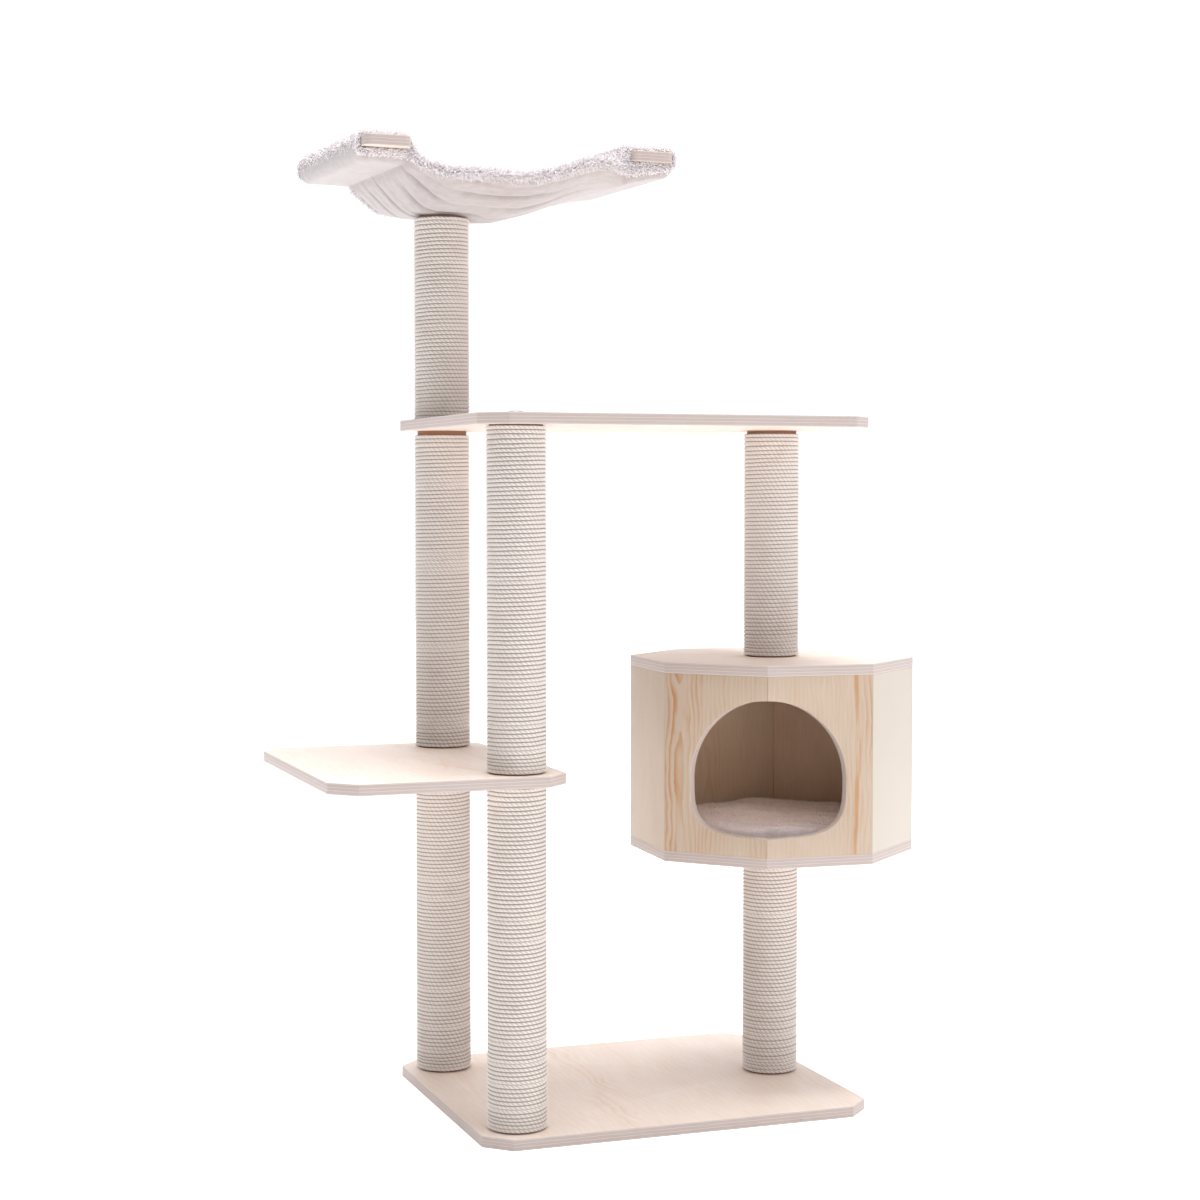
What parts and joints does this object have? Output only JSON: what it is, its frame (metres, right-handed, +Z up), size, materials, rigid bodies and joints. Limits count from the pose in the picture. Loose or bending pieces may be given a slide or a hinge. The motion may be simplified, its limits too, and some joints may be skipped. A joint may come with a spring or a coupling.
{
  "type": "cat tree",
  "caption": "Free-standing plywood cat tree with sisal-wrapped posts, side perch, top board, octagonal cabin with a round doorway and a swivelling plush hammock.",
  "frame": {"origin": "centre of the base board's underside, on the floor", "axes": "+Z up, +X to the right along the base board's front edge, +Y to the back"},
  "size_m": [1.0138, 0.6579, 1.5255],
  "materials": {
    "birch_ply": "clear matt plywood, pale birch faces and striped edges",
    "pine_veneer": "clear matt pine veneer with orange grain",
    "sisal_rope": "natural twisted sisal rope",
    "paper_tube": "spiral-wound brown paper tube",
    "plug_wood": "raw turned softwood",
    "zinc_steel": "bright zinc-plated steel",
    "cream_plush": "cream long-pile plush with a short-pile underside",
    "mat_plush": "pale grey-lilac short-pile plush"
  },
  "bodies": {
    "frame": {"base_board": "birch_ply", "perch_board": "birch_ply", "top_board": "birch_ply", "cabin_floor": "birch_ply", "cabin_roof": "birch_ply", "cabin_wall_right": "pine_veneer", "cabin_wall_back_right": "pine_veneer", "cabin_wall_back": "pine_veneer", "cabin_wall_back_left": "pine_veneer", "cabin_wall_left": "pine_veneer", "cabin_wall_front_left": "pine_veneer", "cabin_wall_front": "pine_veneer", "cabin_wall_front_right": "pine_veneer", "tube_a_lower": "paper_tube", "rope_a_lower": "sisal_rope", "plug_a_lower_foot": "plug_wood", "plug_a_lower_head": "plug_wood", "tube_a_middle": "paper_tube", "rope_a_middle": "sisal_rope", "plug_a_middle_foot": "plug_wood", "plug_a_middle_head": "plug_wood", "tube_a_upper": "paper_tube", "rope_a_upper": "sisal_rope", "plug_a_upper_foot": "plug_wood", "plug_a_upper_head": "plug_wood", "tube_b_lower": "paper_tube", "rope_b_lower": "sisal_rope", "plug_b_lower_foot": "plug_wood", "plug_b_lower_head": "plug_wood", "tube_b_upper": "paper_tube", "rope_b_upper": "sisal_rope", "plug_b_upper_foot": "plug_wood", "plug_b_upper_head": "plug_wood", "tube_c_lower": "paper_tube", "rope_c_lower": "sisal_rope", "plug_c_lower_foot": "plug_wood", "plug_c_lower_head": "plug_wood", "tube_c_upper": "paper_tube", "rope_c_upper": "sisal_rope", "plug_c_upper_foot": "plug_wood", "plug_c_upper_head": "plug_wood", "bolt_base_a": "zinc_steel", "bolt_base_b": "zinc_steel", "bolt_base_c": "zinc_steel", "stud_perch_a": "zinc_steel", "stud_perch_b": "zinc_steel", "stud_top_a": "zinc_steel", "bolt_top_b": "zinc_steel", "bolt_top_c": "zinc_steel", "bolt_cabin_floor": "zinc_steel", "bolt_cabin_roof": "zinc_steel", "bolt_hammock": "zinc_steel"},
    "mat": {"cabin_mat": "mat_plush"},
    "hammock": {"hammock_strap": "zinc_steel", "hammock_slat_left": "birch_ply", "hammock_slat_right": "birch_ply", "screw_slat_left": "zinc_steel", "screw_slat_right": "zinc_steel", "hammock_sling": "cream_plush"}
  },
  "joints": [
    {"name": "hammock_swivel", "type": "hinge", "parent": "frame", "child": "hammock", "pos_m": [-0.25, 0.197, 1.42], "axis": [0, 0, 1], "continuous": true},
    {"name": "mat_lift", "type": "slide", "parent": "frame", "child": "mat", "axis": [0, 0, 1], "range_m": [0, 0.15]}
  ]
}
